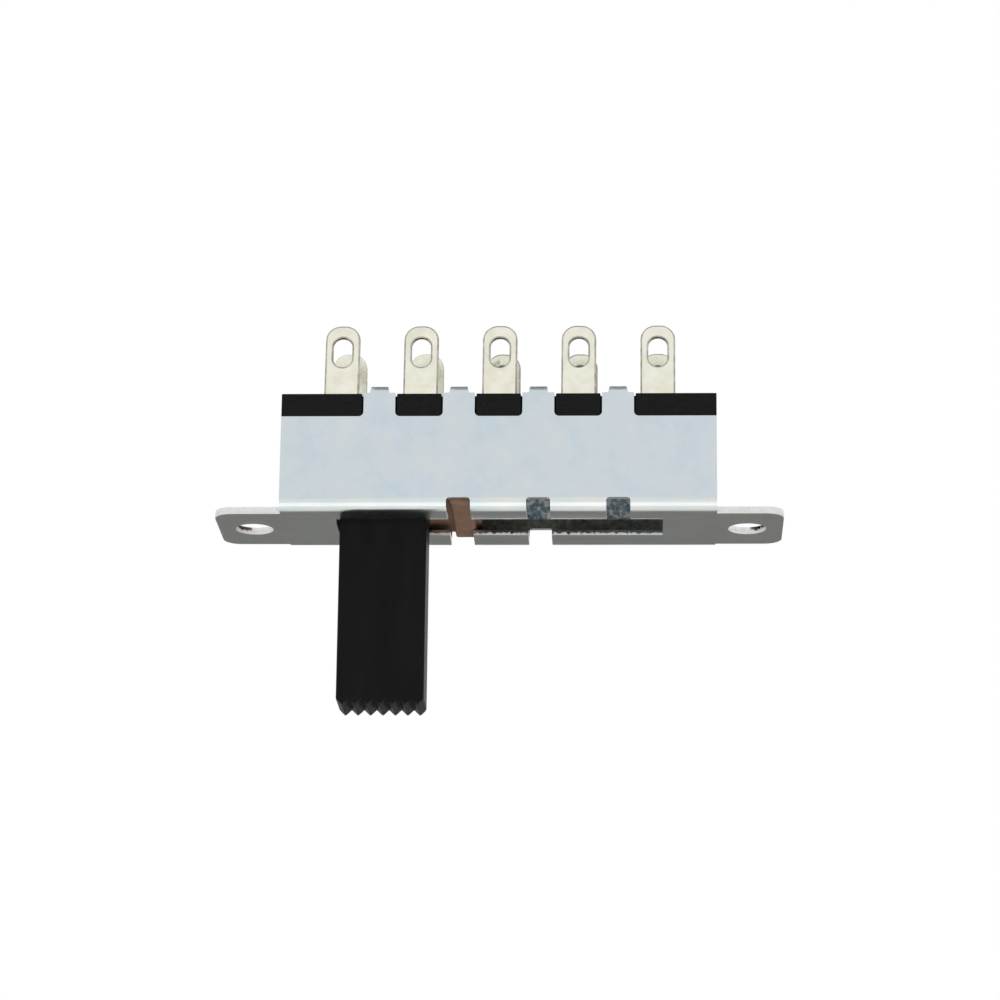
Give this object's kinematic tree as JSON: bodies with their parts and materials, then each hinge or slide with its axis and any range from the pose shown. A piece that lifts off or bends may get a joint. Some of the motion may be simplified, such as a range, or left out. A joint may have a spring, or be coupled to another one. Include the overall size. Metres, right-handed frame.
{
  "type": "slide switch",
  "caption": "Panel-mount slide switch: folded steel frame with screw ears, black base with rows of solder lugs, and a sliding knob with a toothed tip.",
  "frame": {"origin": "middle of the panel plate's outer face, between the two screw holes", "axes": "+X along the slider's travel, away from the rest position; +Y across the switch; +Z from the panel towards the solder lugs"},
  "size_m": [0.0358, 0.0088, 0.0244],
  "materials": {
    "plated_steel": "bright zinc plate",
    "black_laminate": "matt",
    "tinned_terminal": "tin plate over brass",
    "brown_phenolic": "matt moulding",
    "black_plastic": "satin moulding",
    "contact_bronze": "satin",
    "spring_steel": "bright wire"
  },
  "bodies": {
    "housing": {"frame": "plated_steel", "terminal_base": "black_laminate", "terminal_front_1": "tinned_terminal", "terminal_front_2": "tinned_terminal", "terminal_front_3": "tinned_terminal", "terminal_front_4": "tinned_terminal", "terminal_front_5": "tinned_terminal", "terminal_rear_1": "tinned_terminal", "terminal_rear_2": "tinned_terminal", "terminal_rear_3": "tinned_terminal", "terminal_rear_4": "tinned_terminal", "terminal_rear_5": "tinned_terminal"},
    "slider": {"slider_carrier": "brown_phenolic", "knob": "black_plastic", "contact_shoe_front": "contact_bronze", "contact_shoe_rear": "contact_bronze", "contact_spring_front": "spring_steel", "contact_spring_rear": "spring_steel"}
  },
  "joints": [
    {"name": "slider_slide", "type": "slide", "parent": "housing", "child": "slider", "axis": [1, 0, 0], "range_m": [-0.00017, 0.01483]}
  ]
}
